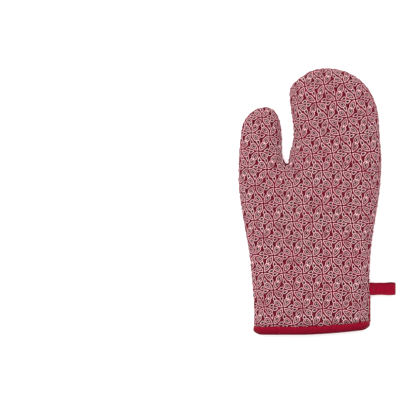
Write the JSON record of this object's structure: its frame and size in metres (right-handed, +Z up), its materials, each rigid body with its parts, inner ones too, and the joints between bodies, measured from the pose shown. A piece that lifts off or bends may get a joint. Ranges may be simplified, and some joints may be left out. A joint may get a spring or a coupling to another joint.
{
  "type": "oven mitt",
  "caption": "Quilted oven mitt with a thumb, a bound cuff and a hanging loop; fingers and thumb fold, and the loop swings.",
  "frame": {"origin": "on the table under the middle of the outline, the hanging loop included", "axes": "+Y towards the fingertips, +Z up out of the front panel, +X towards the side with the hanging loop"},
  "size_m": [0.1886, 0.32, 0.022],
  "materials": {
    "printed_cotton": "plain-weave cotton printed dark red with pale pink leaves, quilted in diamonds",
    "wadding": "needled cotton wadding",
    "lining": "unbleached plain-weave cotton",
    "binding_tape": "folded dark red cotton tape",
    "thread": "dark red sewing thread"
  },
  "bodies": {
    "hand": {"hand_front_cotton": "printed_cotton", "hand_front_wadding": "wadding", "hand_front_lining": "lining", "hand_back_cotton": "printed_cotton", "hand_back_wadding": "wadding", "hand_back_lining": "lining", "cuff_binding": "binding_tape", "binding_stitching": "thread"},
    "fingers": {"fingers_front_cotton": "printed_cotton", "fingers_front_wadding": "wadding", "fingers_front_lining": "lining", "fingers_back_cotton": "printed_cotton", "fingers_back_wadding": "wadding", "fingers_back_lining": "lining"},
    "thumb": {"thumb_front_cotton": "printed_cotton", "thumb_front_wadding": "wadding", "thumb_front_lining": "lining", "thumb_back_cotton": "printed_cotton", "thumb_back_wadding": "wadding", "thumb_back_lining": "lining"},
    "loop": {"hanging_loop": "binding_tape", "loop_bar_tack": "thread"}
  },
  "joints": [
    {"name": "fingers_flex", "type": "hinge", "parent": "hand", "child": "fingers", "pos_m": [0, 0.0477, 0.022], "axis": [1, 0, 0], "range_deg": [0, 60]},
    {"name": "thumb_flex", "type": "hinge", "parent": "hand", "child": "thumb", "pos_m": [-0.06453, 0.02759, 0.022], "axis": [0.8192, 0.5736, 0], "range_deg": [0, 45]},
    {"name": "loop_swing", "type": "hinge", "parent": "hand", "child": "loop", "pos_m": [0.06485, -0.1055, 0.0075], "axis": [0, -1, 0], "range_deg": [-80, 90]}
  ]
}
